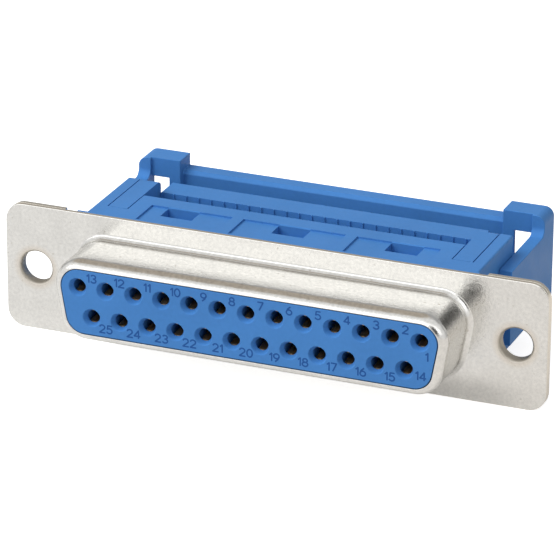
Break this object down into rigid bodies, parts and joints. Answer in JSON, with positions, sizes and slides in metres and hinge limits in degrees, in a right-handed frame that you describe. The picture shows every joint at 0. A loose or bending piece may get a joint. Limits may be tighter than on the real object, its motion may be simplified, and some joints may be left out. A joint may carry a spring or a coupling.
{
  "type": "d-sub connector",
  "caption": "D-sub socket connector for flat ribbon cable: metal flange with D-shaped nose, moulded body with fork contacts, cable cover and strain relief strap.",
  "frame": {"origin": "centre of the flange on its front face, midway between the two mounting holes", "axes": "+X along the connector, -Y towards the mating side, +Z towards the longer row of sockets"},
  "size_m": [0.053, 0.0257, 0.0122],
  "materials": {
    "nickel": "satin nickel plate on drawn steel, with fine rub marks",
    "blue_plastic": "fine matt moulded, glass filled",
    "contact_gold": "gold flash on copper alloy"
  },
  "bodies": {
    "housing": {"front_shell": "nickel", "rear_plate_left": "nickel", "rear_plate_right": "nickel", "front_insulator": "blue_plastic", "rear_body": "blue_plastic", "contact_01": "contact_gold", "contact_02": "contact_gold", "contact_03": "contact_gold", "contact_04": "contact_gold", "contact_05": "contact_gold", "contact_06": "contact_gold", "contact_07": "contact_gold", "contact_08": "contact_gold", "contact_09": "contact_gold", "contact_10": "contact_gold", "contact_11": "contact_gold", "contact_12": "contact_gold", "contact_13": "contact_gold", "contact_14": "contact_gold", "contact_15": "contact_gold", "contact_16": "contact_gold", "contact_17": "contact_gold", "contact_18": "contact_gold", "contact_19": "contact_gold", "contact_20": "contact_gold", "contact_21": "contact_gold", "contact_22": "contact_gold", "contact_23": "contact_gold", "contact_24": "contact_gold", "contact_25": "contact_gold"},
    "cover": {"cable_cover": "blue_plastic"},
    "strap": {"strain_relief": "blue_plastic"}
  },
  "joints": [
    {"name": "cover_slide", "type": "slide", "parent": "housing", "child": "cover", "axis": [0, 1, 0], "range_m": [0, 0.0016]},
    {"name": "strap_slide", "type": "slide", "parent": "housing", "child": "strap", "axis": [0, 1, 0], "range_m": [-0.0012, 0]}
  ]
}
